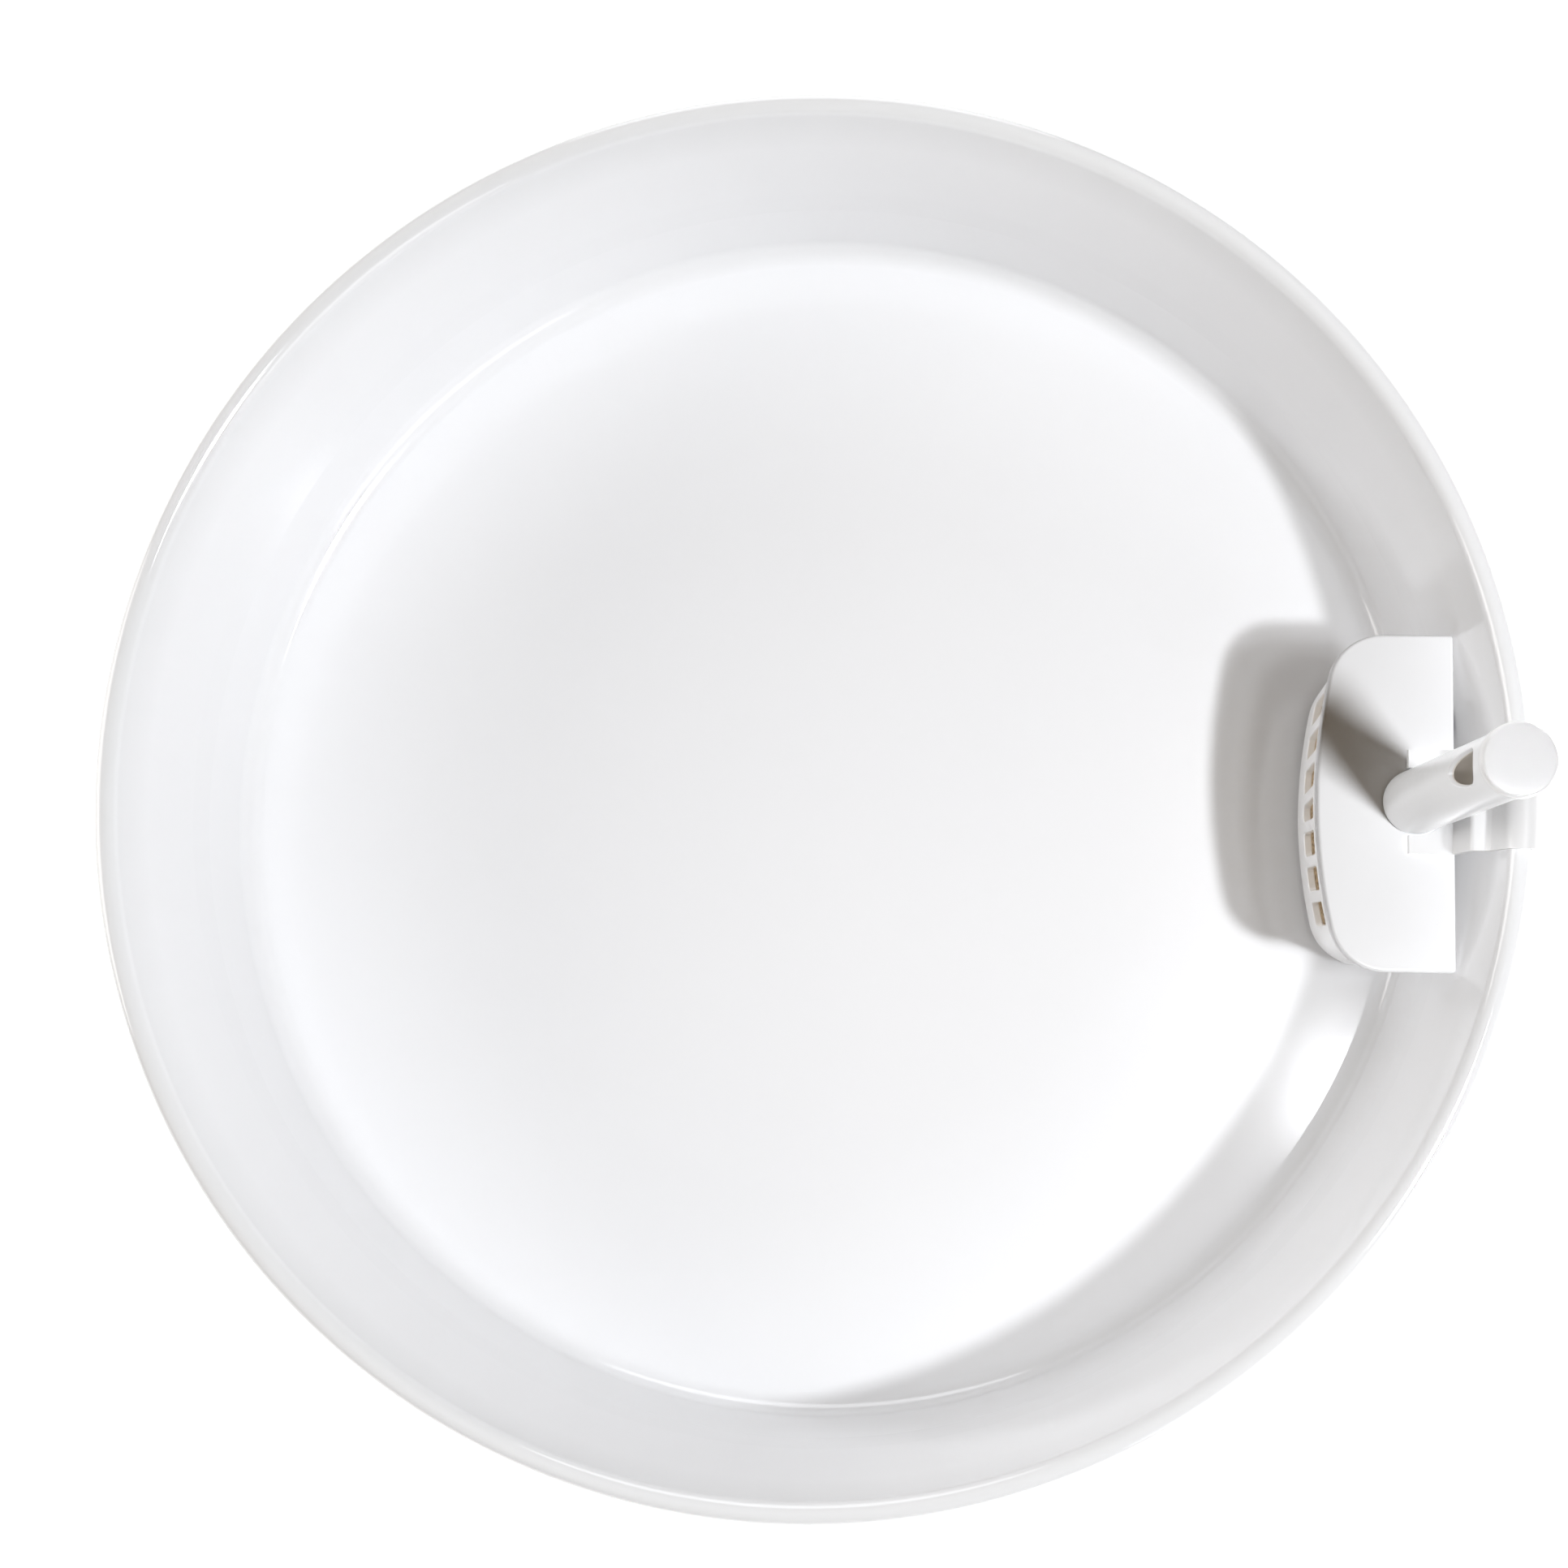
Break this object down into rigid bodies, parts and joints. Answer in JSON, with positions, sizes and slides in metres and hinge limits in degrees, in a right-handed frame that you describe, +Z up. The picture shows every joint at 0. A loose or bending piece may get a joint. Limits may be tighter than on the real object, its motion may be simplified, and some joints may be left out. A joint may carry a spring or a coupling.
{
  "type": "lazy susan turntable",
  "caption": "Round deep-walled tray turning on a low ball-bearing base, with a slotted water unit and spout column hung on its rim.",
  "frame": {"origin": "middle of the object's footprint, on the surface it stands on; the tray's spin axis passes through it", "axes": "+Z up along the spin axis, +X from the spin axis towards the water unit on the rim, +Y completes the right hand"},
  "size_m": [0.3064, 0.305, 0.129],
  "materials": {
    "white_gloss": "glossy moulded white",
    "white_satin": "satin moulded white",
    "base_plastic": "fine-textured moulded light grey",
    "bearing_steel": "zinc-plated and polished steel",
    "cage_nylon": "natural nylon",
    "grey_rubber": "soft matt rubber",
    "filter_foam": "open-cell beige foam",
    "pump_plastic": "black potted pump body",
    "impeller_plastic": "moulded blue",
    "magnet_ferrite": "ground ferrite"
  },
  "bodies": {
    "base": {"base_plate": "base_plastic", "base_foot_1": "grey_rubber", "base_foot_2": "grey_rubber", "base_foot_3": "grey_rubber", "base_foot_4": "grey_rubber", "lower_race": "bearing_steel"},
    "cage": {"ball_cage": "cage_nylon", "ball_01": "bearing_steel", "ball_02": "bearing_steel", "ball_03": "bearing_steel", "ball_04": "bearing_steel", "ball_05": "bearing_steel", "ball_06": "bearing_steel", "ball_07": "bearing_steel", "ball_08": "bearing_steel", "ball_09": "bearing_steel", "ball_10": "bearing_steel", "ball_11": "bearing_steel", "ball_12": "bearing_steel"},
    "turntable": {"tray": "white_gloss", "upper_race": "bearing_steel", "retaining_washer": "bearing_steel", "retaining_screw": "bearing_steel"},
    "water_unit": {"pump_housing": "white_satin", "housing_pad_1": "grey_rubber", "housing_pad_2": "grey_rubber", "housing_pad_3": "grey_rubber", "housing_pad_4": "grey_rubber", "cord_grommet": "grey_rubber", "filter_pad": "filter_foam", "pump_body": "pump_plastic", "impeller_cover": "pump_plastic", "impeller_shaft": "bearing_steel"},
    "rotor": {"rotor_magnet": "magnet_ferrite", "impeller": "impeller_plastic"},
    "unit_deck": {"deck": "white_satin", "rim_bracket": "white_satin"},
    "column": {"spout_column": "white_satin"},
    "cap": {"column_cap": "white_satin"}
  },
  "joints": [
    {"name": "tray_spin", "type": "hinge", "parent": "base", "child": "turntable", "pos_m": [0, 0, 0.0094], "axis": [0, 0, 1], "continuous": true},
    {"name": "cage_spin", "type": "hinge", "parent": "base", "child": "cage", "pos_m": [0, 0, 0.0094], "axis": [0, 0, 1], "continuous": true},
    {"name": "unit_lift", "type": "slide", "parent": "turntable", "child": "water_unit", "axis": [0, 0, 1], "range_m": [0, 0.08]},
    {"name": "impeller_spin", "type": "hinge", "parent": "water_unit", "child": "rotor", "pos_m": [0.1292, 0, 0.0328], "axis": [0, 1, 0], "continuous": true},
    {"name": "deck_lift", "type": "slide", "parent": "water_unit", "child": "unit_deck", "axis": [0, 0, 1], "range_m": [0, 0.03]},
    {"name": "column_swivel", "type": "hinge", "parent": "unit_deck", "child": "column", "pos_m": [0.1323, 0, 0.059], "axis": [0, 0, 1], "range_deg": [-60, 60]},
    {"name": "cap_pull", "type": "slide", "parent": "column", "child": "cap", "axis": [0, 0, 1], "range_m": [0, 0.012]}
  ],
  "couplings": [
    {"joint": "cage_spin", "follows": "tray_spin", "ratio": 0.5}
  ]
}
